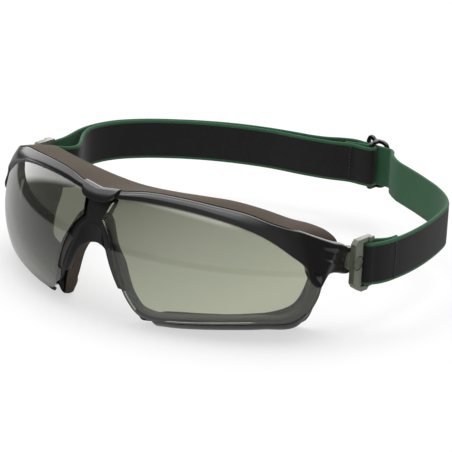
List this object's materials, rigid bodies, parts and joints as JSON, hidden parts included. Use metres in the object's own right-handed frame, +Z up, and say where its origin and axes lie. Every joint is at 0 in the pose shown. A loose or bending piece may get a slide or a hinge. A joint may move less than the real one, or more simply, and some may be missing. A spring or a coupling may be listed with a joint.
{
  "type": "welding goggles",
  "caption": "Wrap-round sealed safety goggles with a one-piece tinted lens, glossy brow frame, soft face skirt and an elastic head strap on swivelling clips.",
  "frame": {"origin": "bottom centre of the goggles' bounding box, on the surface that the skirt stands on", "axes": "+X to the wearer's left, +Y rearwards towards the back of the head strap, +Z up"},
  "size_m": [0.1846, 0.1818, 0.0563],
  "materials": {
    "brow_plastic": "glossy black moulding",
    "rim_plastic": "satin black moulding",
    "lens": "smoke green tinted, polished",
    "seal_foam": "matt black soft seal",
    "skirt_tpe": "satin brown-grey soft moulding",
    "pad_tpe": "satin dark soft moulding",
    "rail_plastic": "satin black moulding",
    "stud_plastic": "glossy black moulding",
    "clip_plastic": "smoke green translucent moulding",
    "strap_web": "elastic webbing, black with green edges and green inner face",
    "slider_plastic": "glossy black moulding",
    "thread": "black sewing thread"
  },
  "bodies": {
    "goggle_front": {"front_frame": "brow_plastic", "bridge_tab": "brow_plastic", "lens_shield": "lens", "lens_seal": "seal_foam", "lens_rim": "rim_plastic", "nose_bridge": "rim_plastic", "nose_pad_left": "pad_tpe", "nose_pad_right": "pad_tpe", "face_skirt": "skirt_tpe", "vent_rail_left": "rail_plastic", "vent_rail_right": "rail_plastic", "pivot_stud_left": "stud_plastic", "pivot_stud_right": "stud_plastic"},
    "strap": {"strap_clip_left": "clip_plastic", "head_strap": "strap_web", "strap_return": "strap_web", "strap_stitch_clip": "thread"},
    "clip_right": {"strap_clip_right": "clip_plastic"},
    "slider": {"strap_slider": "slider_plastic", "strap_stitch_loop": "thread"}
  },
  "joints": [
    {"name": "strap_swivel", "type": "hinge", "parent": "goggle_front", "child": "strap", "pos_m": [0.08217, -0.02519, 0.03], "axis": [1, 0, 0], "range_deg": [-20, 35]},
    {"name": "clip_right_swivel", "type": "hinge", "parent": "goggle_front", "child": "clip_right", "pos_m": [-0.08183, -0.02519, 0.03], "axis": [1, 0, 0], "range_deg": [-20, 35]},
    {"name": "slider_slide", "type": "slide", "parent": "strap", "child": "slider", "axis": [1, 0, 0], "range_m": [-0.0045, 0.0018], "deforming": ["strap_return"]}
  ],
  "couplings": [
    {"joint": "clip_right_swivel", "follows": "strap_swivel", "ratio": 1}
  ]
}
